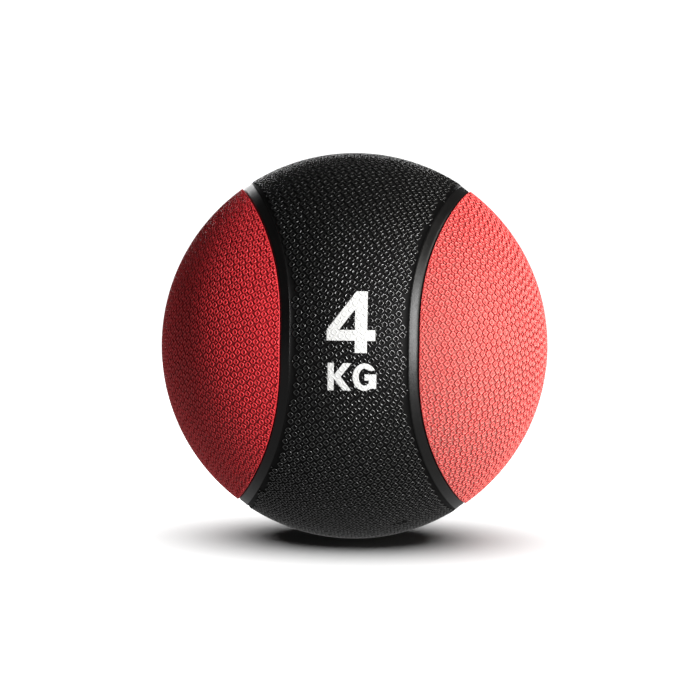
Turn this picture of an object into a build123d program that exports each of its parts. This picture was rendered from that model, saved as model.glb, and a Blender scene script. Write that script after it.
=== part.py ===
from build123d import *
import os
from math import cos, pi, radians, sin

# A 4 kg rubber medicine ball. Millimetres, +Z up, origin at the centre of the ball.
# The two red caps are centred on -X and +X, the weight marking faces -Y, and the
# inflation valve is on +Y. Every layer is bonded to the next one, so the layers touch.

# ---- the ball and its layers, from the outside in ----
ball_diameter = 220.0
skin_thickness = 3.0
carcass_thickness = 24.0
winding_thickness = 1.0
bladder_thickness = 1.8

# ---- the red caps: rounded ovals, long from front to back ----
cap_angle_front = 71.0          # from the cap's centre to its front or rear tip, degrees
cap_angle_up = 53.7             # from the cap's centre to its top or bottom edge, degrees
cap_squareness = 2.23           # 2 is an ellipse, more is squarer
cap_quarter_points = 10

# ---- the smooth channels between the caps and the band ----
channel_width = 5.8
channel_depth = 0.7

# ---- the stepped joint between the two carcass halves ----
tongue_width = 6.0
tongue_height = 4.0
tongue_end_gap = 0.2

# ---- the valve ----
valve_sleeve_diameter = 12.0
valve_neck_diameter = 9.0
valve_core_diameter = 6.4
valve_core_length = 17.0
valve_recess = 0.8              # how far the valve's face lies under the ball's surface
valve_passage_diameter = 3.0
needle_hole_diameter = 1.9
needle_hole_depth = 13.0
valve_flange_diameter = 28.0
valve_flange_thickness = 2.0

# ---- the weight marking ----
marking_depth = 0.5
numeral_shift = 0.95            # towards +X from the middle of the band
numeral_height = 31.2
numeral_width = 24.55
numeral_stem = 6.25
numeral_bar = 5.45
numeral_bar_height = 6.1        # from the numeral's foot to the underside of its bar
numeral_flat_top = 5.6
numeral_foot_z = -3.15
letter_shift = 1.75             # towards +X from the middle of the band
letter_height = 13.9
letter_width = 12.0
letter_stroke = 3.1
letter_gap = 0.6
line_gap = 5.2                  # between the numeral's foot and the letters' tops

# ---- worked out from the sizes above ----
ball_radius = ball_diameter / 2
carcass_outer = ball_radius - skin_thickness
winding_outer = carcass_outer - carcass_thickness
bladder_outer = winding_outer - winding_thickness
cavity_radius = bladder_outer - bladder_thickness
valve_face = ball_radius - valve_recess
tongue_radius = carcass_outer - carcass_thickness / 2
past_surface = 1.02 * ball_radius


# Each sphere's seam is a half circle on the -X side, clear of the right cap and its channel.
def spherical_shell(outer, inner):
    return Rot(0, 0, 180) * (Sphere(outer) - Sphere(inner))


def rod_along_y(diameter, start, end):
    return Pos(0, (start + end) / 2, 0) * Rot(90, 0, 0) * Cylinder(diameter / 2, end - start)


# A direction on the cap's edge. turn goes round +X from the front tip, upwards.
def edge_direction(turn):
    along = abs(cos(turn)) / radians(cap_angle_front)
    up = abs(sin(turn)) / radians(cap_angle_up)
    angle = (along ** cap_squareness + up ** cap_squareness) ** (-1 / cap_squareness)
    return Vector(cos(angle), -sin(angle) * cos(turn), sin(angle) * sin(turn))


# The same direction moved away from the cap's centre by a distance along the surface.
def moved_direction(turn, distance):
    here = edge_direction(turn)
    step = 0.001
    along = edge_direction(turn + step) - edge_direction(turn - step)
    outward = along.cross(here).normalized()
    if outward.X > 0:
        outward = -outward
    lift = distance / ball_radius
    return here * cos(lift) + outward * sin(lift)


# Everything between the ball's centre and a cap's edge: a cone with an oval section, cut off
# by two planes. Each quarter of the oval is one spline, square to the plane it starts from.
def cap_cone(distance):
    outlines = []
    for x in (0.1 * ball_radius, past_surface):
        quarters = []
        for quarter in range(4):
            points = []
            for index in range(cap_quarter_points + 1):
                ray = moved_direction(pi / 2 * (quarter + index / cap_quarter_points), distance)
                points.append(Vector(x, ray.Y / ray.X * x, ray.Z / ray.X * x))
            ends = (quarter * pi / 2, (quarter + 1) * pi / 2)
            tangents = [Vector(0, sin(turn), cos(turn)) for turn in ends]
            quarters.append(Spline(*points, tangents=tangents))
        outlines.append(make_face(quarters))
    return loft(outlines, ruled=True)


def cap_skin():
    return spherical_shell(ball_radius, carcass_outer) & cap_cone(0)


def channel_strip():
    shell = spherical_shell(ball_radius - channel_depth, carcass_outer)
    return (shell & cap_cone(channel_width)) - cap_cone(0)


def band_skin(marking):
    wide_cone = cap_cone(channel_width)
    band = spherical_shell(ball_radius, carcass_outer) - wide_cone - mirror(wide_cone, Plane.YZ)
    band -= rod_along_y(valve_neck_diameter, carcass_outer - 5, past_surface)
    for piece in marking:
        band -= piece
    return band


def carcass_halves():
    shell = spherical_shell(carcass_outer, winding_outer)
    front = shell & (Pos(0, -ball_radius, 0) * Box(*[2 * ball_radius] * 3))
    rear = shell & (Pos(0, ball_radius, 0) * Box(*[2 * ball_radius] * 3))
    inner, outer = tongue_radius - tongue_width / 2, tongue_radius + tongue_width / 2
    tongue = rod_along_y(2 * outer, 0, tongue_height) - rod_along_y(2 * inner, 0, tongue_height)
    depth = tongue_height + tongue_end_gap
    groove = rod_along_y(2 * outer, 0, depth) - rod_along_y(2 * inner, 0, depth)
    hole = rod_along_y(valve_sleeve_diameter, cavity_radius - 5, past_surface)
    return front + tongue, rear - groove - hole


def inner_layer(outer, inner):
    hole = rod_along_y(valve_sleeve_diameter, cavity_radius - 5, past_surface)
    return spherical_shell(outer, inner) - hole


def valve_housing():
    sleeve = rod_along_y(valve_sleeve_diameter, 0, past_surface)
    sleeve &= spherical_shell(carcass_outer, cavity_radius)
    neck = rod_along_y(valve_neck_diameter, 0, past_surface)
    neck &= spherical_shell(valve_face, cavity_radius)
    flange = rod_along_y(valve_flange_diameter, 0, past_surface)
    flange &= spherical_shell(cavity_radius, cavity_radius - valve_flange_thickness)
    body = sleeve + neck + flange
    body -= rod_along_y(valve_core_diameter, valve_face - valve_core_length, past_surface)
    return body - rod_along_y(valve_passage_diameter, 0, past_surface)


def valve_core():
    core = rod_along_y(valve_core_diameter, valve_face - valve_core_length, past_surface)
    core &= Sphere(valve_face)
    return core - rod_along_y(needle_hole_diameter, valve_face - needle_hole_depth, past_surface)


# ---- the marking's outlines, drawn in plain upright strokes from the lower left corner ----

def four_outline():
    bar_top = numeral_bar_height + numeral_bar
    stem_right = numeral_width - (numeral_width - numeral_stem) * 0.225
    stem_left = stem_right - numeral_stem
    outline = make_face(Polyline(
        (stem_left, 0), (stem_right, 0),
        (stem_right, numeral_bar_height), (numeral_width, numeral_bar_height),
        (numeral_width, bar_top), (stem_right, bar_top),
        (stem_right, numeral_height), (stem_right - numeral_flat_top, numeral_height),
        (0, bar_top), (0, numeral_bar_height),
        (stem_left, numeral_bar_height), close=True))
    slope = (stem_right - numeral_flat_top) / (numeral_height - bar_top)
    window_left = numeral_stem
    window_height = (stem_left - window_left) / slope
    window = make_face(Polyline(
        (window_left, bar_top), (stem_left, bar_top),
        (stem_left, bar_top + window_height), close=True))
    return outline - window


def k_outline():
    middle = letter_height / 2
    foot_width = letter_stroke * 1.35
    root = letter_stroke * 0.3      # half the height of the arms where they leave the stem
    slope = (middle - root) / (letter_width - foot_width - letter_stroke)
    crotch = letter_width - middle / slope
    stem = Pos(letter_stroke / 2, middle) * Rectangle(letter_stroke, letter_height)
    arms = make_face(Polyline(
        (letter_stroke, middle - root), (letter_width - foot_width, 0), (letter_width, 0),
        (crotch, middle), (letter_width, letter_height),
        (letter_width - foot_width, letter_height), (letter_stroke, middle + root), close=True))
    return stem + arms


def g_outline():
    middle = letter_height / 2
    ring = Ellipse(letter_width / 2, letter_height / 2)
    ring -= Ellipse(letter_width / 2 - letter_stroke, letter_height / 2 - letter_stroke * 0.85)
    mouth_top, bar_top, post_foot = letter_height * 0.24, letter_height * 0.1, letter_height * -0.42
    mouth = Pos(letter_width / 2, (mouth_top + bar_top) / 2)
    ring -= mouth * Rectangle(letter_width, mouth_top - bar_top)
    bar = Pos(letter_width / 4, bar_top - letter_stroke / 2) * Rectangle(letter_width / 2, letter_stroke)
    post_width = letter_stroke * 1.2
    post = Pos(letter_width / 2 - post_width / 2, (bar_top + post_foot) / 2)
    post *= Rectangle(post_width, bar_top - post_foot)
    return Pos(letter_width / 2, middle) * (ring + bar + post)


# An outline set into the front of the ball, flush with its surface.
def set_in_front(outline, left, foot):
    face = Plane(origin=(left, 0, foot), x_dir=(1, 0, 0), z_dir=(0, -1, 0)) * outline
    block = extrude(face, past_surface, dir=(0, -1, 0))
    return block & spherical_shell(ball_radius, ball_radius - marking_depth)


def marking_pieces():
    letters_foot = numeral_foot_z - line_gap - letter_height
    k_left = letter_shift - letter_width - letter_gap / 2
    return {
        "numeral_four": set_in_front(four_outline(), numeral_shift - numeral_width / 2, numeral_foot_z),
        "letter_k": set_in_front(k_outline(), k_left, letters_foot),
        "letter_g": set_in_front(g_outline(), letter_shift + letter_gap / 2, letters_foot),
    }


def build_ball():
    marking = marking_pieces()
    right_cap, right_strip = cap_skin(), channel_strip()
    front_half, rear_half = carcass_halves()
    return {
        "cap_skin_right": right_cap,
        "cap_skin_left": mirror(right_cap, Plane.YZ),
        "channel_strip_right": right_strip,
        "channel_strip_left": mirror(right_strip, Plane.YZ),
        "band_skin": band_skin(marking.values()),
        "carcass_front_half": front_half,
        "carcass_rear_half": rear_half,
        "winding_layer": inner_layer(winding_outer, bladder_outer),
        "bladder": inner_layer(bladder_outer, cavity_radius),
        "valve_housing": valve_housing(),
        "valve_core": valve_core(),
        **marking,
    }


os.makedirs("parts", exist_ok=True)
for name, piece in build_ball().items():
    export_step(piece, f"parts/{name}.step")
    print(name, len(piece.solids()), "solid", round(piece.volume / 1000, 2), "cm3")
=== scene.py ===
import bpy, bmesh
from math import acos, asin, atan, atan2, cos, pi, radians, sin, sqrt
from mathutils import Matrix, Vector, kdtree


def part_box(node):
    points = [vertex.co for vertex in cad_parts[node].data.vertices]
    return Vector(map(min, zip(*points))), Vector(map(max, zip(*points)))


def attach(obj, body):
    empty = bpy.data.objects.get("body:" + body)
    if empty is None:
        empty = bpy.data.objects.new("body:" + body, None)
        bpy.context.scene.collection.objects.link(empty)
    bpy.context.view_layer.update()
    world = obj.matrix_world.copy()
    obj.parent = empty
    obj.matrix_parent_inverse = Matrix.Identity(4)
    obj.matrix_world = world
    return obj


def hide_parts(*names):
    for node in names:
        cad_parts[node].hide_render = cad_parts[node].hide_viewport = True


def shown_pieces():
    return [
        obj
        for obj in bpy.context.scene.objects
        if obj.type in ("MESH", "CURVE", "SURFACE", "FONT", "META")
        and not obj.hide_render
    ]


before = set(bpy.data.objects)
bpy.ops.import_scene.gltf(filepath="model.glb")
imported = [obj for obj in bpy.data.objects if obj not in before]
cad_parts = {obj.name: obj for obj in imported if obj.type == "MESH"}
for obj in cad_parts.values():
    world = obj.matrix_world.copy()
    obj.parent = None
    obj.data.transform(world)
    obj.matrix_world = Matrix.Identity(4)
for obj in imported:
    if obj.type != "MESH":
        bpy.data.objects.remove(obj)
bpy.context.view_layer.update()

scene = bpy.context.scene
mm = 0.001

# sizes read from the frame: the band reaches the very top of the ball
capLow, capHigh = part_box("cap_skin_right")
numeralLow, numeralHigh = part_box("numeral_four")
kLow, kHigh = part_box("letter_k")
gLow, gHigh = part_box("letter_g")
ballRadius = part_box("band_skin")[1].z
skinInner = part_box("carcass_front_half")[1].z
capAngleUp = asin(capHigh.z / ballRadius)
capAngleFront = asin(-capLow.y / ballRadius)
print("ball radius", round(ballRadius / mm, 2), "mm")

panels = {
    "squareness": 2.23,         # of the cap's outline: 2 is an ellipse, more is squarer
    "channelWidth": 5.8 * mm,
    "valley": 0.6 * mm,         # the smooth rubber lies this far under the tops of the grip studs
    "wall": 1.4 * mm,           # how far a panel's side falls into the channel
    # the raised lip, as (mm in from the edge, mm under the ball's surface)
    "lip": [(0.0, 0.52), (0.04, 0.36), (0.12, 0.27), (0.22, 0.25), (0.34, 0.32), (0.44, 0.46)],
    "border": 0.6 * mm,         # from the edge to where the skin is flat
    "gripEdge": 0.3 * mm,       # the studs are cut off this far from the edge
    "turns": 256,               # points round an edge, then rows of faces outside and inside
    "rows": 26,
    "innerRows": 8,
}
valleyRadius = ballRadius - panels["valley"]
turns = [2 * pi * i / panels["turns"] for i in range(panels["turns"])]
pole = Vector((1, 0, 0))


# turn 0 is the front of a cap, a quarter turn is its top
def edgeDirection(turn):
    along = abs(cos(turn)) / capAngleFront
    up = abs(sin(turn)) / capAngleUp
    power = panels["squareness"]
    angle = (along ** power + up ** power) ** (-1 / power)
    return Vector((cos(angle), -sin(angle) * cos(turn), sin(angle) * sin(turn)))


def offsetDirection(turn, distance):  # moved away from the cap's centre, along the surface
    here = edgeDirection(turn)
    beside = 0.001
    along = edgeDirection(turn + beside) - edgeDirection(turn - beside)
    outward = along.cross(here).normalized()
    if outward.x > 0:
        outward = -outward
    lift = distance / ballRadius
    return (here * cos(lift) + outward * sin(lift)).normalized()


def mirrored(point):
    return Vector((-point.x, point.y, point.z))


def unchanged(point):
    return point


def newObject(name, mesh):
    piece = bpy.data.objects.new(name, mesh)
    scene.collection.objects.link(piece)
    return piece


def meshFromRings(name, rings, firstTip=None, lastTip=None):
    # joins closed rings one after another; the ends meet each other, or close in a point each
    bm = bmesh.new()
    loops = [[bm.verts.new(p) for p in ring] for ring in rings]
    pairs = list(zip(loops, loops[1:]))
    if firstTip is None:
        pairs.append((loops[-1], loops[0]))
    for a, b in pairs:
        for i in range(len(a)):
            j = (i + 1) % len(a)
            bm.faces.new((a[i], a[j], b[j], b[i]))
    if firstTip is not None:
        for loop, point in ((loops[0], firstTip), (loops[-1], lastTip)):
            tip = bm.verts.new(point)
            for i in range(len(loop)):
                bm.faces.new((loop[i], loop[(i + 1) % len(loop)], tip))
    bmesh.ops.recalc_face_normals(bm, faces=bm.faces)
    for face in bm.faces:
        face.smooth = True
    mesh = bpy.data.meshes.new(name)
    bm.to_mesh(mesh)
    bm.free()
    return newObject(name, mesh)


def plainMesh(piece):  # applies every modifier, then drops it
    graph = bpy.context.evaluated_depsgraph_get()
    mesh = bpy.data.meshes.new_from_object(piece.evaluated_get(graph), depsgraph=graph)
    piece.modifiers.clear()
    piece.data = mesh
    return piece


def joinInto(piece, *others):
    bm = bmesh.new()
    bm.from_mesh(piece.data)
    for other in others:
        bm.from_mesh(other.data)
        bpy.data.objects.remove(other)
    bm.to_mesh(piece.data)
    bm.free()
    return piece


def boolean(piece, other, operation, crossing=False):
    # crossing: the piece's own shells run into each other
    cut = piece.modifiers.new("cut", "BOOLEAN")
    cut.operation = operation
    cut.solver = "EXACT"
    cut.use_self = crossing
    cut.object = other
    return plainMesh(piece)


def copyOf(piece, name):
    return newObject(name, piece.data.copy())


def edgeProfile():
    # a panel's edge from the wall over its raised lip to the flat, as (distance in, radius)
    profile = [(0.0, skinInner), (0.0, ballRadius - panels["wall"])]
    for distance, drop in panels["lip"]:
        profile.append((distance * mm, ballRadius - drop * mm))
    profile.append((panels["border"], valleyRadius))
    return profile


def capSkin(name, place):
    edges = [edgeDirection(t) for t in turns]
    rings = []
    for row in range(1, panels["innerRows"]):
        share = row / panels["innerRows"]
        rings.append([place(pole.slerp(d, share) * skinInner) for d in edges])
    for distance, radius in edgeProfile():
        rings.append([place(offsetDirection(t, -distance) * radius) for t in turns])
    start = [offsetDirection(t, -edgeProfile()[-1][0]) for t in turns]
    for row in range(1, panels["rows"]):
        share = row / panels["rows"]
        rings.append([place(d.slerp(pole, share) * valleyRadius) for d in start])
    return meshFromRings(name, rings, place(pole * skinInner), place(pole * valleyRadius))


def bandSkin(name):
    width = panels["channelWidth"]
    profile = edgeProfile()
    right = [[offsetDirection(t, width + d) * r for t in turns] for d, r in profile]
    left = [[mirrored(p) for p in ring] for ring in right]
    start = [offsetDirection(t, width + profile[-1][0]) for t in turns]
    rows = [[d.slerp(mirrored(d), row / panels["rows"]) * valleyRadius for d in start]
            for row in range(1, panels["rows"])]
    inside = [offsetDirection(t, width) for t in turns]
    innerRows = [[mirrored(d).slerp(d, row / panels["innerRows"]) * skinInner for d in inside]
                 for row in range(1, panels["innerRows"])]
    return meshFromRings(name, right + rows + left[::-1] + innerRows)


channel = {
    # (share of the width from the cap to the band, mm under the ball's surface)
    "profile": [(0, 1.2), (0.07, 1.15), (0.14, 0.78), (0.22, 0.66), (0.35, 0.62), (0.5, 0.6),
                (0.65, 0.57), (0.8, 0.5), (0.92, 0.42), (1, 0.36)],
}


def channelStrip(name, place):
    rings = []
    for across, dip in channel["profile"]:
        rings.append([place(offsetDirection(t, across * panels["channelWidth"])
                            * (ballRadius - dip * mm)) for t in turns])
    for across in (1, 0.5, 0):
        rings.append([place(offsetDirection(t, across * panels["channelWidth"]) * skinInner)
                      for t in turns])
    return meshFromRings(name, rings)


valve = {
    "smooth": 10.5 * mm,        # radius of the smooth round patch without studs
    "collar": 9.5 * mm,         # radius of the collar let into the band
    "neck": 4.5 * mm,
    "tight": 0.05 * mm,         # how far it reaches into the band round its hole
    # its face with the raised lip, as (mm out from the neck, mm over the smooth rubber)
    "face": [(0, -0.3), (0.1, 0.05), (0.35, 0.27), (0.75, 0.35), (1.25, 0.25), (1.7, -0.05),
             (2.3, -0.08), (3.0, 0.01)],
    "sides": 64,
}


def valveCollar(name):
    edge = valve["collar"] + valve["tight"]
    profile = [(valve["neck"], skinInner)]
    for out, rise in valve["face"]:
        profile.append((valve["neck"] + out * mm, valleyRadius + rise * mm))
    profile += [(edge, profile[-1][1]), (edge, skinInner)]
    angles = [2 * pi * i / valve["sides"] for i in range(valve["sides"])]
    rings = []
    for out, radius in profile:
        depth = sqrt(radius ** 2 - out ** 2)
        rings.append([Vector((out * cos(a), depth, out * sin(a))) for a in angles])
    return meshFromRings(name, rings)


def rodAlongY(name, radius, start, end, sides):
    bm = bmesh.new()
    place = Matrix.Translation((0, (start + end) / 2, 0)) @ Matrix.Rotation(pi / 2, 4, "X")
    bmesh.ops.create_cone(bm, cap_ends=True, segments=sides, radius1=radius, radius2=radius,
                          depth=end - start, matrix=place)
    mesh = bpy.data.meshes.new(name)
    bm.to_mesh(mesh)
    bm.free()
    return newObject(name, mesh)


# squares of four ringed studs round a dot, each square turned 15 degrees from the grid that
# it repeats on, so that every stud has five others equally near
grip = {
    "squareTurn": radians(15),
    "studReach": 1.96 * mm,     # from a stud's centre to its corner
    "studWaist": 1.56 * mm,     # and to the middle of its side
    "profile": [                # from a stud's foot to its pit, as shares of reach and height
        (1.0, -0.25), (0.945, 0.72), (0.85, 1.0), (0.71, 0.94), (0.52, 0.3)],
    "pit": 0.12,
    "studSides": 8,
    "dotRadius": 0.66 * mm,
    "dotProfile": [(1.0, -0.2), (0.72, 0.84)],
    "dotTop": 0.97,
    "dotSides": 6,
    "bandStepsUp": 25,          # grid steps across and along the band that close the pattern
    "bandStepsAlong": 88,       # after one time round the ball
    "capPitch": 1.155,          # the caps' pattern against the band's, at a cap's centre
    "capSpread": 0.35,
    "leastRoom": 1.3 * mm,      # studs nearer than this to the valve or a vent are left out
    "edgeRoom": 0.55 * mm,      # and the others there shrink to stay this far from it
    "cutNear": 1.2,             # studs within this share of their reach of an edge are cut at it
    "uneven": 0.04,             # greatest share that a stud is smaller than its neighbours
}
bandReach = (ballRadius * 0.8, ballRadius * pi * 1.03)  # metres of pattern across and along
capReach = (ballRadius * 1.5, ballRadius * 1.5)


def studMesh(name, corner, waist, sides, shares, topHeight):
    # shares are (share of the reach, height over the skin) from the foot to the rim of the pit
    rings = []
    for share, height in shares:
        ring = []
        for i in range(sides):
            angle = 2 * pi * i / sides
            reach = corner if i % 2 == 0 else waist
            ring.append(Vector((reach * share * cos(angle), reach * share * sin(angle), height)))
        rings.append(ring)
    bottom = Vector((0, 0, shares[0][1]))
    return meshFromRings(name, rings, bottom, Vector((0, 0, topHeight)))


def gripTree():
    tree = bpy.data.node_groups.new("gripPattern", "GeometryNodeTree")
    tree.is_modifier = True
    kinds = {"Geometry": "Geometry", "Stud": "Object", "Size": "Float", "Uneven": "Float",
             "Seed": "Int", "Rubber": "Material"}
    for label, kind in kinds.items():
        tree.interface.new_socket(label, in_out="INPUT", socket_type="NodeSocket" + kind)
    tree.interface.new_socket("Geometry", in_out="OUTPUT", socket_type="NodeSocketGeometry")

    def node(kind, settings=None, **links):
        made = tree.nodes.new(kind)
        for key, value in (settings or {}).items():
            setattr(made, key, value)
        for key, value in links.items():
            socket = made.inputs[key.replace("_", " ")]
            if hasattr(value, "is_output"):
                tree.links.new(value, socket)
            else:
                socket.default_value = value
        return made

    given = node("NodeGroupInput").outputs
    along = node("GeometryNodeInputNamedAttribute", {"data_type": "FLOAT_VECTOR"}, Name="along")
    size = node("GeometryNodeInputNamedAttribute", {"data_type": "FLOAT"}, Name="size")
    place = node("GeometryNodeInputPosition")
    turned = node("FunctionNodeAxesToRotation", {"primary_axis": "Z", "secondary_axis": "X"})
    tree.links.new(place.outputs[0], turned.inputs["Primary Axis"])
    tree.links.new(along.outputs[0], turned.inputs["Secondary Axis"])
    chance = node("FunctionNodeRandomValue", {"data_type": "FLOAT"})
    tree.links.new(given["Seed"], chance.inputs["Seed"])
    lowest = node("ShaderNodeMath", {"operation": "SUBTRACT"})
    lowest.inputs[0].default_value = 1
    tree.links.new(given["Uneven"], lowest.inputs[1])
    tree.links.new(lowest.outputs[0], chance.inputs[2])  # the float pair of its several inputs
    chance.inputs[3].default_value = 1
    scaled = node("ShaderNodeMath", {"operation": "MULTIPLY"})
    tree.links.new(size.outputs[0], scaled.inputs[0])
    tree.links.new(given["Size"], scaled.inputs[1])
    varied = node("ShaderNodeMath", {"operation": "MULTIPLY"})
    tree.links.new(scaled.outputs[0], varied.inputs[0])
    tree.links.new(chance.outputs[1], varied.inputs[1])
    stud = node("GeometryNodeObjectInfo", Object=given["Stud"])
    copies = node("GeometryNodeInstanceOnPoints", Points=given["Geometry"],
                  Instance=stud.outputs["Geometry"], Rotation=turned.outputs[0],
                  Scale=varied.outputs[0])
    real = node("GeometryNodeRealizeInstances", Geometry=copies.outputs[0])
    painted = node("GeometryNodeSetMaterial", Geometry=real.outputs[0], Material=given["Rubber"])
    node("NodeGroupOutput", Geometry=painted.outputs[0])
    return tree


def givenAs(modifier, **values):
    # inputs of a Geometry Nodes modifier, given by name and set by the socket's identifier
    sockets = {s.name: s.identifier for s in modifier.node_group.interface.items_tree
               if s.in_out == "INPUT"}
    for name, value in values.items():
        modifier[sockets[name]] = value


def spread(name, sites, stud, tree, seed, paint):
    mesh = bpy.data.meshes.new(name)
    mesh.from_pydata([site[0] for site in sites], [], [])
    along = mesh.attributes.new("along", "FLOAT_VECTOR", "POINT")
    along.data.foreach_set("vector", [c for site in sites for c in site[1]])
    size = mesh.attributes.new("size", "FLOAT", "POINT")
    size.data.foreach_set("value", [site[2] for site in sites])
    piece = newObject(name, mesh)
    modifier = piece.modifiers.new("grip", "NODES")
    modifier.node_group = tree
    givenAs(modifier, Stud=stud, Size=1.0, Uneven=grip["uneven"], Seed=seed, Rubber=paint)
    return plainMesh(piece)


vents = {
    # (mm along the ball's width, degrees up from the front)
    "places": [(27.0, -64.5), (-27.0, 148.0)],
    "smooth": 1.2 * mm,
    "radius": 1.75 * mm,
    "wire": 0.24 * mm,          # half the width of the raised ring
    "tall": 1.2,                # its height against its width
    "lift": 0.2 * mm,           # its middle lies this far over the smooth rubber
    "turns": 40,
    "sides": 6,
}
ventDirections = []
for across, turn in vents["places"]:
    lift = radians(turn)
    side = across * mm / ballRadius
    ventDirections.append(Vector((sin(side), -cos(side) * cos(lift), cos(side) * sin(lift))))


edgePoints = 1440               # on a cap's edge, for finding the one nearest to a stud
edgeTree = kdtree.KDTree(edgePoints)
for i in range(edgePoints):
    edgeTree.insert(edgeDirection(2 * pi * i / edgePoints) * ballRadius, i)
edgeTree.balance()


def pastCapEdge(direction):  # metres outside the nearer cap's edge, or less than 0 on the cap
    here = Vector((abs(direction.x), direction.y, direction.z))
    distance = edgeTree.find(here * ballRadius)[2]
    edge = edgeDirection(atan2(here.z, -here.y))
    return -distance if here.x > edge.x else distance


def onBand(u, v):
    return Vector((sin(u / ballRadius), -cos(u / ballRadius) * cos(v / ballRadius),
                   cos(u / ballRadius) * sin(v / ballRadius)))


def onCap(side):
    def place(u, v):
        out = sqrt(u * u + v * v)
        if out < 1e-9:
            return Vector((side, 0, 0))
        angle = atan(grip["capSpread"] * out / ballRadius) / grip["capSpread"]
        east = side * u / out
        return Vector((side * cos(angle), sin(angle) * east, sin(angle) * v / out))
    return place


# the grid's step and its turn, so that the pattern meets itself after going round the band
cellSide = 2 * pi * ballRadius / sqrt(grip["bandStepsUp"] ** 2 + grip["bandStepsAlong"] ** 2)
cellTurn = atan(grip["bandStepsUp"] / grip["bandStepsAlong"])


def gripSites(place, scale, reach, roomAt):
    # every stud and dot as (point on the skin, direction of a corner, size, near an edge)
    studs, dots = [], []
    side = cellSide * scale
    half = side / sqrt(2 + sqrt(3)) / sqrt(2)  # from a dot to each of its four studs
    block = cellTurn - grip["squareTurn"]
    steps = int(max(reach) / side * 1.5) + 2  # enough to fill the reach with the turned grid
    step = 0.1 * mm
    for i in range(-steps, steps + 1):
        for j in range(-steps, steps + 1):
            u = side * (i * cos(cellTurn) - j * sin(cellTurn))
            v = side * (i * sin(cellTurn) + j * cos(cellTurn))
            if abs(u) > reach[0] or abs(v) > reach[1]:
                continue
            spots = [(u, v, dots, grip["dotRadius"])]
            for k in range(4):
                turn = block + pi / 4 + k * pi / 2
                spots.append((u + half * cos(turn), v + half * sin(turn), studs, grip["studReach"]))
            for a, b, group, radius in spots:
                here = place(a, b)
                room, edge = roomAt(here, a, b)
                if room < grip["leastRoom"] or edge < -radius:
                    continue
                overU = (place(a + step, b) - here) * ballRadius / step
                overV = (place(a, b + step) - here) * ballRadius / step
                size = sqrt(overU.cross(overV).length) * scale
                size = min(size, (room - grip["edgeRoom"]) / radius)
                along = (overU * cos(block) + overV * sin(block)).normalized()
                group.append((here * valleyRadius, along, size, edge < radius * grip["cutNear"]))
    return studs, dots


def bandRoom(direction, u, v):
    if not -pi * ballRadius <= v < pi * ballRadius:  # the pattern closes on itself here
        return -1, -1
    edge = pastCapEdge(direction) - panels["channelWidth"]
    valveAway = direction.angle(Vector((0, 1, 0))) * ballRadius
    ventAway = min(direction.angle(d) for d in ventDirections) * ballRadius
    return min(valveAway - valve["smooth"], ventAway - vents["smooth"]), edge


def capRoom(direction, u, v):
    return 1, -pastCapEdge(direction)


# the cutters reach from under the skin to over the studs, as shares of the ball's radius
cutUnder, cutOver = 0.93, 1.05


def edgeCutter(name, distance, place):
    # the solid that holds the cap side of a line along the edge, for cutting the studs there
    rings = [[place(offsetDirection(t, distance) * ballRadius * scale) for t in turns]
             for scale in (cutUnder, cutOver)]
    return meshFromRings(name, rings, place(pole * ballRadius * 0.2), place(pole * ballRadius * 4))


def bandCutter(name, distance):  # the same for the band, between its two edges
    edge = [offsetDirection(t, distance) for t in turns]
    rows = 8
    rings = []
    for scale, order in ((cutOver, range(rows + 1)), (cutUnder, range(rows, -1, -1))):
        for row in order:
            rings.append([d.slerp(mirrored(d), row / rows) * ballRadius * scale for d in edge])
    return meshFromRings(name, rings)


def trim(piece, cutter):
    boolean(piece, cutter, "INTERSECT")
    bpy.data.objects.remove(cutter)


marking = {
    "numeralStem": 6.25 * mm,
    "numeralStemRight": 0.225,  # share of the width beside the stem that lies to its right
    "numeralBar": 5.45 * mm,
    "numeralBarHeight": 6.1 * mm,
    "numeralFlatTop": 5.6 * mm,
    "letterStroke": 3.1 * mm,
    "kFoot": 1.35,              # widths against the stroke: the foot of the K's leg,
    "kRoot": 0.3,               # and half of where its arms meet the stem
    "gThin": 0.85,              # the G's stroke at its top and bottom,
    "gPost": 1.2,               # and its post
    "gMouth": 0.24,             # heights against the G's own, from its middle
    "gBar": 0.1,
    "gPostFoot": 0.42,
    "gSteps": 30,
    "under": 0.26 * mm,         # the ink's smooth face lies this far under the tops of the studs
    "deep": 0.75 * mm,
    "grid": 2.0 * mm,           # size of the ink's faces before it is bent round the ball
    "margin": 2.4 * mm,         # studs this near to the marking are cut along it
}


# outlines in the marking's own plane, lower left corner at 0, 0; the 4 has a window
def fourOutline(width, height):
    stem, bar = marking["numeralStem"], marking["numeralBar"]
    barHeight, flatTop = marking["numeralBarHeight"], marking["numeralFlatTop"]
    barTop = barHeight + bar
    stemRight = width - (width - stem) * marking["numeralStemRight"]
    stemLeft = stemRight - stem
    slope = (stemRight - flatTop) / (height - barTop)
    outline = [(stemLeft, 0), (stemRight, 0), (stemRight, barHeight), (width, barHeight),
               (width, barTop), (stemRight, barTop), (stemRight, height),
               (stemRight - flatTop, height), (0, barTop), (0, barHeight), (stemLeft, barHeight)]
    window = [(stem, barTop), (stemLeft, barTop), (stemLeft, barTop + (stemLeft - stem) / slope)]
    return [outline, window]


def kOutline(width, height):
    stroke = marking["letterStroke"]
    middle = height / 2
    foot, root = stroke * marking["kFoot"], stroke * marking["kRoot"]
    slope = (middle - root) / (width - foot - stroke)
    return [[(0, 0), (stroke, 0), (stroke, middle - root), (width - foot, 0), (width, 0),
             (width - middle / slope, middle), (width, height), (width - foot, height),
             (stroke, middle + root), (stroke, height), (0, height)]]


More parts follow.
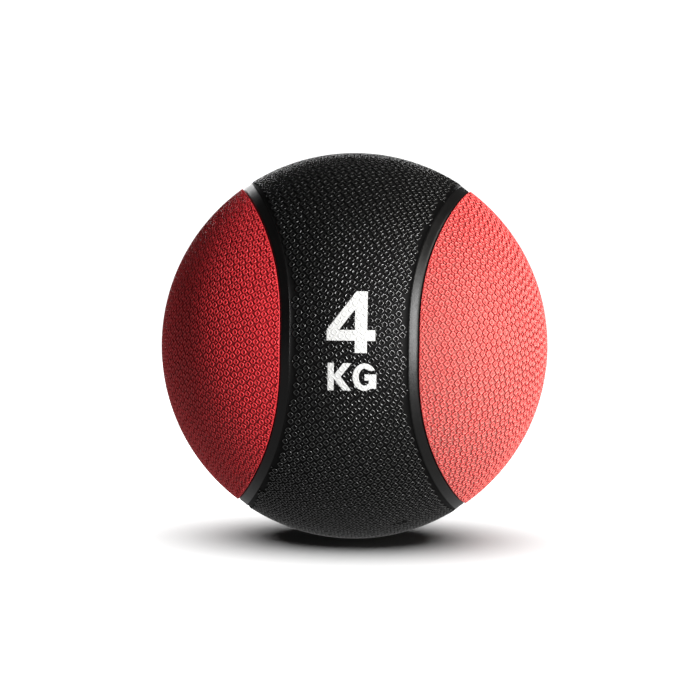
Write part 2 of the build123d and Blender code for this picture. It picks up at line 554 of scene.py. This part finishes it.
def gOutline(width, height):
    stroke = marking["letterStroke"]
    halfWide, halfHigh = width / 2, height / 2
    innerWide, innerHigh = halfWide - stroke, halfHigh - stroke * marking["gThin"]
    mouth, barTop = height * marking["gMouth"], height * marking["gBar"]
    postFoot = height * marking["gPostFoot"]
    postLeft = halfWide - stroke * marking["gPost"]
    steps = marking["gSteps"]
    outerStart, outerEnd = asin(mouth / halfHigh), 2 * pi - asin(postFoot / halfHigh)
    innerStart, innerEnd = 2 * pi - acos(postLeft / innerWide), asin(mouth / innerHigh)
    points = []
    for i in range(steps + 1):
        turn = outerStart + (outerEnd - outerStart) * i / steps
        points.append((halfWide * cos(turn), halfHigh * sin(turn)))
    points += [(halfWide, -postFoot), (halfWide, barTop), (0, barTop), (0, barTop - stroke),
               (postLeft, barTop - stroke)]
    for i in range(steps + 1):
        turn = innerStart + (innerEnd - innerStart) * i / steps
        points.append((innerWide * cos(turn), innerHigh * sin(turn)))
    return [[(x + halfWide, y + halfHigh) for x, y in points]]


def flatFace(outlines, low, y):
    bm = bmesh.new()
    edges = []
    for outline in outlines:
        corners = [bm.verts.new((low.x + a, y, low.z + b)) for a, b in outline]
        edges += [bm.edges.new((p, q)) for p, q in zip(corners, corners[1:] + corners[:1])]
    bmesh.ops.triangle_fill(bm, use_beauty=True, use_dissolve=False, edges=edges)
    return bm


def finished(bm, name, smooth):
    bmesh.ops.recalc_face_normals(bm, faces=bm.faces)
    for face in bm.faces:
        face.smooth = smooth
    mesh = bpy.data.meshes.new(name)
    bm.to_mesh(mesh)
    bm.free()
    return newObject(name, mesh)


def extrude(bm, move):
    made = bmesh.ops.extrude_face_region(bm, geom=list(bm.faces))["geom"]
    for vert in [g for g in made if isinstance(g, bmesh.types.BMVert)]:
        vert.co = move(vert.co)


def outlinePrism(name, outlines, low):  # from in front of the ball to inside it
    bm = flatFace(outlines, low, -ballRadius * 1.1)
    extrude(bm, lambda p: Vector((p.x, -ballRadius * 0.8, p.z)))
    return finished(bm, name, False)


def onSphere(point, radius):  # straight back from the front, as the outline is projected
    return Vector((point.x, -sqrt(radius ** 2 - point.x ** 2 - point.z ** 2), point.z))


def inkSlab(name, outlines, low, high):
    bm = flatFace(outlines, low, -ballRadius)
    for axis, start, end in ((0, low.x, high.x), (2, low.z, high.z)):
        normal = Vector((1, 0, 0)) if axis == 0 else Vector((0, 0, 1))
        count = int((end - start) / marking["grid"])
        for i in range(1, count + 1):
            geom = list(bm.verts) + list(bm.edges) + list(bm.faces)
            bmesh.ops.bisect_plane(bm, geom=geom, dist=1e-7, plane_no=normal,
                                   plane_co=normal * (start + (end - start) * i / (count + 1)))
    for vert in bm.verts:
        vert.co = onSphere(vert.co, ballRadius - marking["under"])
    extrude(bm, lambda p: onSphere(p, ballRadius - marking["deep"]))
    return finished(bm, name, False)


# shader nodes: sums on a Value make Math nodes, and Paint.node adds any other node
class Value:
    def __init__(self, paint, socket):
        self.paint = paint
        self.socket = socket

    def maths(self, operation, a, b):
        return self.paint.node("ShaderNodeMath", {"operation": operation}, {0: a, 1: b})

    def __add__(self, other):
        return self.maths("ADD", self, other)

    def __radd__(self, other):
        return self.maths("ADD", other, self)

    def __sub__(self, other):
        return self.maths("SUBTRACT", self, other)

    def __rsub__(self, other):
        return self.maths("SUBTRACT", other, self)

    def __mul__(self, other):
        return self.maths("MULTIPLY", self, other)

    def __rmul__(self, other):
        return self.maths("MULTIPLY", other, self)


class Paint:
    def __init__(self, name):
        self.material = bpy.data.materials.new(name)
        self.material.use_nodes = True
        self.nodes = self.material.node_tree.nodes
        self.links = self.material.node_tree.links
        self.shader = self.nodes["Principled BSDF"]
        self.place = self.node("ShaderNodeTexCoord", output="Object")

    def node(self, kind, settings=None, inputs=None, output=0):
        made = self.nodes.new(kind)
        for key, value in (settings or {}).items():
            setattr(made, key, value)
        for key, value in (inputs or {}).items():
            self.feed(made.inputs[key], value)
        return Value(self, made.outputs[output])

    def feed(self, socket, value):
        if isinstance(value, Value):
            self.links.new(value.socket, socket)
        else:
            socket.default_value = value

    def surface(self, **values):  # Base_Color and so on
        for name, value in values.items():
            self.feed(self.shader.inputs[name.replace("_", " ")], value)

    def noise(self, size, detail=3.0, roughness=0.5, distortion=0.0):
        inputs = {"Vector": self.place, "Scale": 1 / size, "Detail": detail,
                  "Roughness": roughness, "Distortion": distortion}
        return self.node("ShaderNodeTexNoise", None, inputs)

    def mix(self, share, first, second):
        inputs = {0: share, 6: first, 7: second}
        return self.node("ShaderNodeMix", {"data_type": "RGBA"}, inputs, output=2)

    def between(self, value, low, high):  # 0 below low, 1 above high
        inputs = {"Value": value, "From Min": low, "From Max": high}
        settings = {"clamp": True, "interpolation_type": "SMOOTHSTEP"}
        return self.node("ShaderNodeMapRange", settings, inputs)

    def bump(self, height, depth, normal=None):
        inputs = {"Height": height, "Distance": depth, "Strength": 1.0}
        if normal is not None:
            inputs["Normal"] = normal
        return self.node("ShaderNodeBump", None, inputs)

    def heightOverSkin(self, start):
        # 0 up to start metres over the smooth skin, 1 from just under the tops of the studs
        out = self.node("ShaderNodeVectorMath", {"operation": "LENGTH"}, {0: self.place},
                        output="Value")
        return self.between(out, valleyRadius + start, ballRadius - 0.04 * mm)


def shade(colour, factor):
    return tuple(min(1, c * factor) for c in colour) + (1,)


rubberSizes = {
    "grain": 0.55 * mm,
    "speck": 0.9 * mm,          # of the dust
    "wave": 2.6 * mm,
    "layerCloud": 9 * mm,       # of the layers that can't be seen
    "layerGrain": 0.5 * mm,
}


def rubber(name, settings):
    # moulded rubber: a faint cloudy colour, a fine grain, a polish that only the tops keep, tops
    # made lighter by scuffing and a painted sheen, and painted shade in the valleys
    paint = Paint(name)
    colour, uneven = settings["colour"], settings["cloud"]
    cloud = paint.between(paint.noise(settings["cloudSize"], 4, 0.55), 0.3, 0.7)
    grain = paint.noise(rubberSizes["grain"], 3, 0.6)
    speck = paint.between(paint.noise(rubberSizes["speck"], 2, 0.5), 0.6, 0.72)
    body = paint.mix(cloud, shade(colour, 1 - uneven), shade(colour, 1 + uneven))
    height = paint.heightOverSkin(settings["topsFrom"])
    # tops of the studs lighter: partly real scuffing, partly a painted sheen
    lifted = paint.mix(height * settings["scuffAndSheen"], body, settings["scuffAndSheenColour"] + (1,))
    # painted shade: the valleys between the studs darken towards 30 % of the rubber's colour
    deep = paint.mix((1 - height) * settings["valleyPaintedShade"], lifted, shade(colour, 0.3))
    dusty = paint.mix(speck * settings["dust"], deep, settings["dustColour"] + (1,))
    rough = settings["roughness"] + cloud * 0.06 + (1 - height) * 0.1 + speck * 0.1
    fine = paint.bump(grain, settings["grain"])
    wide = paint.bump(paint.noise(rubberSizes["wave"], 2, 0.5), settings["wave"], fine)
    polish = height * settings["polish"]
    paint.surface(Base_Color=dusty, Roughness=rough, Normal=wide, IOR=1.5, Coat_Weight=polish)
    paint.surface(Specular_IOR_Level=settings["shine"], Coat_Roughness=settings["coatRough"],
                  Coat_IOR=1.65)
    return paint.material


redRubber = rubber("redRubber", {
    "colour": (0.66, 0.014, 0.024),
    "cloud": 0.07, "cloudSize": 14 * mm,
    "scuffAndSheen": 0.15, "scuffAndSheenColour": (0.74, 0.10, 0.10),
    "valleyPaintedShade": 0.8, "topsFrom": 0.05 * mm,
    "dust": 0.05, "dustColour": (0.75, 0.40, 0.38),
    "roughness": 0.58, "shine": 0.34,
    "polish": 0.24, "coatRough": 0.36,
    "grain": 0.03 * mm, "wave": 0.06 * mm,
})
blackRubber = rubber("blackRubber", {
    "colour": (0.0019, 0.0018, 0.0018),
    "cloud": 0.15, "cloudSize": 14 * mm,
    "scuffAndSheen": 0.10, "scuffAndSheenColour": (0.012, 0.011, 0.0105),
    "valleyPaintedShade": 0.7, "topsFrom": 0.30 * mm,
    "dust": 0.03, "dustColour": (0.05, 0.047, 0.045),
    "roughness": 0.5, "shine": 0.08,
    "polish": 1.0, "coatRough": 0.17,
    "grain": 0.02 * mm, "wave": 0.04 * mm,
})
channelRubber = rubber("channelRubber", {
    "colour": (0.0014, 0.0013, 0.0013),
    "cloud": 0.15, "cloudSize": 20 * mm,
    "scuffAndSheen": 0.0, "scuffAndSheenColour": (0.05, 0.046, 0.044),
    "valleyPaintedShade": 0.0, "topsFrom": 0.0,
    "dust": 0.03, "dustColour": (0.06, 0.055, 0.05),
    "roughness": 0.24, "shine": 0.26,
    "polish": 0.0, "coatRough": 0.2,
    "grain": 0.015 * mm, "wave": 0.05 * mm,
})
valveRubber = rubber("valveRubber", {
    "colour": (0.022, 0.021, 0.021),
    "cloud": 0.1, "cloudSize": 5 * mm,
    "scuffAndSheen": 0.0, "scuffAndSheenColour": (0.05, 0.046, 0.044),
    "valleyPaintedShade": 0.0, "topsFrom": 0.0,
    "dust": 0.06, "dustColour": (0.14, 0.13, 0.12),
    "roughness": 0.5, "shine": 0.5,
    "polish": 0.0, "coatRough": 0.2,
    "grain": 0.02 * mm, "wave": 0.04 * mm,
})


inkFinish = {
    "dark": (0.42, 0.42, 0.412, 1),
    "light": (0.47, 0.47, 0.462, 1),
    "low": (0.28, 0.28, 0.275, 1), "paintedShadeShare": 0.12,        # painted shade between the studs
    "rubbed": (0.22, 0.21, 0.20, 1), "rubbedShare": 0.12,   # in small worn spots
    "cloudSize": 6 * mm, "wornSize": 1.6 * mm, "grainSize": 0.4 * mm,
    "grain": 0.02 * mm,
}


def markingInk():
    paint = Paint("markingInk")
    worn = paint.between(paint.noise(inkFinish["wornSize"], 4, 0.65, 0.4), 0.62, 0.75)
    cloud = paint.noise(inkFinish["cloudSize"], 3, 0.5)
    height = paint.heightOverSkin(0.1 * mm)
    body = paint.mix(cloud, inkFinish["dark"], inkFinish["light"])
    # painted shade: the ink is darker where it lies low between the studs
    shaded = paint.mix((1 - height) * inkFinish["paintedShadeShare"], body, inkFinish["low"])
    rubbed = paint.mix(worn * inkFinish["rubbedShare"], shaded, inkFinish["rubbed"])
    fine = paint.bump(paint.noise(inkFinish["grainSize"], 2, 0.6), inkFinish["grain"])
    paint.surface(Base_Color=rubbed, Roughness=0.42 + worn * 0.2, Normal=fine, IOR=1.48)
    return paint.material


def plainRubber(name, colour, roughness, pore):
    # the unseen inner layers: foamed or dipped rubber with small pores
    paint = Paint(name)
    cloud = paint.between(paint.noise(rubberSizes["layerCloud"], 4, 0.55), 0.3, 0.7)
    cells = paint.node("ShaderNodeTexVoronoi", {"feature": "F1"},
                       {"Vector": paint.place, "Scale": 1 / pore}, output="Distance")
    body = paint.mix(cloud, shade(colour, 0.85), shade(colour, 1.1))
    grain = paint.bump(paint.noise(rubberSizes["layerGrain"]), 0.03 * mm)
    fine = paint.bump(cells, pore * 0.2, grain)
    paint.surface(Base_Color=body, Roughness=roughness + cloud * 0.08, Normal=fine)
    return paint.material


winding = {
    "tilts": (35, -50),         # degrees that the two sets of turns lean
    "threadWidth": 0.8 * mm,
    "ridge": 0.15 * mm,
    "gap": (0.30, 0.27, 0.21, 1),
    "thread": (0.66, 0.62, 0.52, 1),
    "stain": (0.4, 0.33, 0.22, 1), "stainSize": 12 * mm, "stainShare": 0.3,
}


def windingThread():
    # crossing turns of thread, as fine ridges round two tilted axes
    paint = Paint("windingThread")
    bands = {"wave_type": "BANDS", "bands_direction": "Z"}
    ridges = []
    for tilt in winding["tilts"]:
        turn = radians(tilt)
        centred = paint.node("ShaderNodeMapping", {"vector_type": "POINT"},
                             {"Vector": paint.place, "Rotation": (turn, turn * 0.6, 0)})
        inputs = {"Vector": centred, "Scale": 0.314 / winding["threadWidth"], "Distortion": 1.2,
                  "Detail": 1.0, "Detail Scale": 2.0}
        ridges.append(paint.node("ShaderNodeTexWave", bands, inputs, output="Fac"))
    thread = ridges[0].maths("MAXIMUM", ridges[0], ridges[1])
    spots = paint.between(paint.noise(winding["stainSize"], 4), 0.4, 0.8)
    body = paint.mix(thread, winding["gap"], winding["thread"])
    stained = paint.mix(spots * winding["stainShare"], body, winding["stain"])
    fine = paint.bump(thread, winding["ridge"])
    paint.surface(Base_Color=stained, Roughness=0.85 - thread * 0.15, Normal=fine)
    return paint.material


def ventMark(name, direction):
    # a thin raised ring where air left the mould
    side = direction.orthogonal().normalized()
    up = direction.cross(side)
    centre = direction * (valleyRadius + vents["lift"])
    wire = vents["wire"]
    rings = []
    for i in range(vents["turns"]):
        a = 2 * pi * i / vents["turns"]
        out = side * cos(a) + up * sin(a)
        ring = []
        for k in range(vents["sides"]):
            b = 2 * pi * k / vents["sides"]
            ring.append(centre + out * (vents["radius"] + wire * cos(b))
                        + direction * wire * vents["tall"] * sin(b))
        rings.append(ring)
    return meshFromRings(name, rings)


def setMaterial(name, material):  # on a node kept from the frame
    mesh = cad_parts[name].data
    mesh.materials.clear()
    mesh.materials.append(material)


def dress(piece, material, slot, *nodes):
    if not piece.data.materials:
        piece.data.materials.append(material)
    for i in range(len(piece.data.materials)):
        piece.data.materials[i] = material
    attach(piece, "root")
    if nodes:
        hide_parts(*nodes)
    return piece


def scaledProfile(profile, scale):
    return [(share, height * scale) for share, height in profile]


def nearMarking(site):
    point, margin = site[0], marking["margin"]
    if point.y > 0:
        return False
    for low, high in ((numeralLow, numeralHigh), (kLow, kHigh), (gLow, gHigh)):
        besideIt = low.x - margin < point.x < high.x + margin
        if besideIt and low.z - margin < point.z < high.z + margin:
            return True
    return False


def chosen(sites, test):
    return [site for site in sites if test(site)]


def gripPiece(name, studs, dots, test, seed, paint):
    piece = spread(name, chosen(studs, test), stud, tree, seed, paint)
    return joinInto(piece, spread(name + "Dots", chosen(dots, test), dot, tree, seed + 1, paint))


def gripHalves(name, studs, dots, seed, edgeSeed, paint, cutter):
    # a panel's grip as a front and a rear piece; only the studs at its edge are cut there
    halves = []
    for half, test in (("Front", lambda s: s[0].y <= 0), ("Rear", lambda s: s[0].y > 0)):
        inside = gripPiece(name + "Grip" + half, studs, dots,
                           lambda s: test(s) and not s[3], seed, paint)
        edged = gripPiece(name + "Edge" + half, studs, dots,
                          lambda s: test(s) and s[3], edgeSeed, paint)
        trim(edged, cutter())
        halves.append(joinInto(inside, edged))
    return halves


print("studs")
tree = gripTree()
depth = panels["valley"]
stud = studMesh("studPattern", grip["studReach"], grip["studWaist"], grip["studSides"],
                scaledProfile(grip["profile"], depth), grip["pit"] * depth)
dot = studMesh("dotPattern", grip["dotRadius"], grip["dotRadius"], grip["dotSides"],
               scaledProfile(grip["dotProfile"], depth), grip["dotTop"] * depth)
bandStuds, bandDots = gripSites(onBand, 1.0, bandReach, bandRoom)
print("band", len(bandStuds), "studs", len(bandDots), "dots")
marked = gripPiece("gripMarked", bandStuds, bandDots, nearMarking, 3, blackRubber)
plainStuds, plainDots = [chosen(sites, lambda s: not nearMarking(s))
                         for sites in (bandStuds, bandDots)]
front, rear = gripHalves("band", plainStuds, plainDots, 11, 17, blackRubber, lambda: bandCutter(
    "bandLine", panels["channelWidth"] + panels["gripEdge"]))

print("marking")
inks = []
for name, node, outline, low, high in (
        ("numeralFour", "numeral_four", fourOutline, numeralLow, numeralHigh),
        ("letterK", "letter_k", kOutline, kLow, kHigh),
        ("letterG", "letter_g", gOutline, gLow, gHigh)):
    outlines = outline(high.x - low.x, high.z - low.z)
    prism = outlinePrism(name + "Prism", outlines, low)
    printed = boolean(copyOf(marked, name + "Studs"), prism, "INTERSECT", True)
    marked = boolean(marked, prism, "DIFFERENCE", True)
    slab = boolean(inkSlab(name, outlines, low, high), printed, "UNION")
    for extra in (prism, printed):
        bpy.data.objects.remove(extra)
    inks.append((slab, node))
joinInto(front, marked)

print("skins")
caps = []
for name, side, place, seed in (("capRight", 1, unchanged, 29), ("capLeft", -1, mirrored, 43)):
    capStuds, capDots = gripSites(onCap(side), grip["capPitch"], capReach, capRoom)
    print(name, len(capStuds), "studs", len(capDots), "dots")
    skin = capSkin(name, place)
    halves = gripHalves(name, capStuds, capDots, seed, seed + 5, redRubber, lambda: edgeCutter(
        name + "Line", -panels["gripEdge"], place))
    caps.append([skin] + halves)
band = bandSkin("bandSkin")
hole = rodAlongY("valveHole", valve["collar"], ballRadius * 0.8, ballRadius * 1.1, valve["sides"])
band = boolean(band, hole, "DIFFERENCE")
bpy.data.objects.remove(hole)
collar = valveCollar("valveCollar")
joinInto(band, collar)

print("finishes")
for group, node in zip(caps, ("cap_skin_right", "cap_skin_left")):
    for piece in group:
        dress(piece, redRubber, "red_rubber", node)
dress(band, blackRubber, "black_rubber", "band_skin")
dress(front, blackRubber, "black_rubber", "band_skin")
dress(rear, blackRubber, "black_rubber", "band_skin")
stripRight = channelStrip("channelRight", unchanged)
stripLeft = channelStrip("channelLeft", mirrored)
dress(stripRight, channelRubber, "channel_rubber", "channel_strip_right")
dress(stripLeft, channelRubber, "channel_rubber", "channel_strip_left")
ink = markingInk()
for slab, node in inks:
    dress(slab, ink, "marking_ink", node)
for i, direction in enumerate(ventDirections):
    ring = ventMark("ventMark" + str(i + 1), direction)
    dress(ring, blackRubber, "black_rubber", "band_skin")
carcassRubber = plainRubber("carcassRubber", (0.055, 0.05, 0.046), 0.8, 0.9 * mm)
setMaterial("carcass_front_half", carcassRubber)
setMaterial("carcass_rear_half", carcassRubber)
setMaterial("winding_layer", windingThread())
setMaterial("bladder", plainRubber("bladderRubber", (0.028, 0.027, 0.028), 0.5, 2.5 * mm))
setMaterial("valve_housing", valveRubber)
setMaterial("valve_core", plainRubber("valveCoreRubber", (0.03, 0.03, 0.031), 0.45, 0.6 * mm))
for extra in (stud, dot):
    bpy.data.objects.remove(extra)

print("studio")
camera = {
    "distance": 0.88,
    "turn": 1.48,               # degrees towards the right cap
    "lift": 0.25,
    "roll": 0.88,
    "aim": (-2.55 * mm, -2.5 * mm),
    "lens": 78.7,
    "sensor": 36,
}
# softboxes: degrees towards the right cap and up, metres, and which pieces each one lights
studio = {
    "key": {"turn": 35, "lift": 11, "away": 0.8, "width": 0.14, "height": 0.62, "radiance": 51,
            "colour": (1, 1, 1), "lights": "rest"},
    "wall": {"turn": 78, "lift": 0, "away": 0.8, "width": 0.8, "height": 1.3, "radiance": 5.0,
             "colour": (1, 0.97, 0.90), "lights": "rest"},
    "side": {"turn": 55, "lift": -6, "away": 0.8, "width": 1.9, "height": 2.2, "radiance": 4.2,
             "colour": (1, 0.97, 0.88), "lights": "right"},
    "haze": {"turn": 66, "lift": -10, "away": 0.8, "width": 1.3, "height": 1.8, "radiance": 12.0,
             "colour": (1, 0.94, 0.77), "lights": "right"},
    "rear": {"turn": 190, "lift": 14, "away": 0.8, "width": 0.6, "height": 0.6, "radiance": 4.5,
             "colour": (1, 1, 1), "lights": "rest"},
}


surroundings = {
    "floorHalf": 6,
    "floorColour": (0.3, 0.3, 0.3, 1),
    "floorGlow": 0.42,          # what the pale floor throws back at the ball
    "floorGap": 0.4 * mm,
    "skyEnergy": 17.0,          # a wide soft sun that lights the floor alone
    "skyAngle": 98,
    "domeRadius": 9,
    "domeGlow": 1.2,
    "world": (0.06, 0.06, 0.06, 1),
}


def turned(turn, lift):  # a direction from the ball's middle, out of the front when both are 0
    a, b = radians(turn), radians(lift)
    return Vector((sin(a) * cos(b), -cos(a) * cos(b), sin(b)))


def aimAt(thing, target, roll=0):
    facing = (target - thing.location).normalized()
    thing.rotation_euler = (facing.to_track_quat("-Z", "Y").to_matrix()
                            @ Matrix.Rotation(roll, 3, "Z")).to_euler()


def softbox(name, settings, lit):
    data = bpy.data.lights.new(name, "AREA")
    data.shape = "RECTANGLE"
    data.size, data.size_y = settings["width"], settings["height"]
    data.energy = settings["radiance"] * settings["width"] * settings["height"] * pi
    data.color = settings["colour"]
    light = bpy.data.objects.new(name, data)
    scene.collection.objects.link(light)
    light.location = turned(settings["turn"], settings["lift"]) * settings["away"]
    aimAt(light, Vector((0, 0, 0)))
    light.light_linking.receiver_collection = lit


def glowing(name, strength):
    material = bpy.data.materials.new(name)
    material.use_nodes = True
    nodes = material.node_tree.nodes
    nodes.clear()
    light = nodes.new("ShaderNodeEmission")
    light.inputs["Color"].default_value = (1, 1, 1, 1)
    light.inputs["Strength"].default_value = strength
    end = nodes.new("ShaderNodeOutputMaterial")
    material.node_tree.links.new(light.outputs[0], end.inputs["Surface"])
    return material


def flatFloor(name, z, material):
    half = surroundings["floorHalf"]
    mesh = bpy.data.meshes.new(name)
    mesh.from_pydata([(-half, -half, z), (half, -half, z), (half, half, z), (-half, half, z)],
                     [], [(0, 1, 2, 3)])
    mesh.materials.append(material)
    piece = newObject(name, mesh)
    return piece


def hide(piece, *rays):
    for ray in rays:
        setattr(piece, "visible_" + ray, False)


# the right cap has two softboxes of its own, and the other three light the rest
lit = {"rest": bpy.data.collections.new("litRest"), "right": bpy.data.collections.new("litRight")}
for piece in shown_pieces():
    lit["right" if piece.name.startswith("capRight") else "rest"].objects.link(piece)
for name, settings in studio.items():
    softbox(name, settings, lit[settings["lights"]])
hide(bpy.data.objects["haze"], "diffuse")  # it adds a sheen only

# the camera sees the floor, and the ball sees the glowing copy under it
floorPaint = Paint("floorPaint")
floorPaint.surface(Base_Color=surroundings["floorColour"], Roughness=0.9, Specular_IOR_Level=0.0)
floorTop = flatFloor("floor", -ballRadius, floorPaint.material)
hide(floorTop, "diffuse", "glossy", "transmission", "shadow")
bounce = flatFloor("floorBounce", -ballRadius - surroundings["floorGap"],
                   glowing("floorGlow", surroundings["floorGlow"]))
hide(bounce, "camera", "shadow")

onlyFloor = bpy.data.collections.new("litFloor")
onlyFloor.objects.link(floorTop)
sky = bpy.data.lights.new("sky", "SUN")
sky.energy = surroundings["skyEnergy"]
sky.angle = radians(surroundings["skyAngle"])
skyLight = bpy.data.objects.new("sky", sky)
scene.collection.objects.link(skyLight)
skyLight.light_linking.receiver_collection = onlyFloor

world = bpy.data.worlds.new("studio")
world.use_nodes = True
scene.world = world
world.node_tree.nodes["Background"].inputs["Color"].default_value = surroundings["world"]
bpy.ops.mesh.primitive_uv_sphere_add(radius=surroundings["domeRadius"], segments=48, ring_count=24)
dome = bpy.context.object  # only the camera sees it
dome.name = "dome"
dome.data.materials.append(glowing("domeGlow", surroundings["domeGlow"]))
hide(dome, "diffuse", "glossy", "transmission", "shadow")

view = bpy.data.cameras.new("camera")
view.lens = camera["lens"]
view.sensor_width = camera["sensor"]
eye = bpy.data.objects.new("camera", view)
scene.collection.objects.link(eye)
eye.location = turned(camera["turn"], camera["lift"]) * camera["distance"]
aimAt(eye, Vector((camera["aim"][0], 0, camera["aim"][1])), radians(camera["roll"]))
scene.camera = eye
scene.view_settings.view_transform = "Standard"
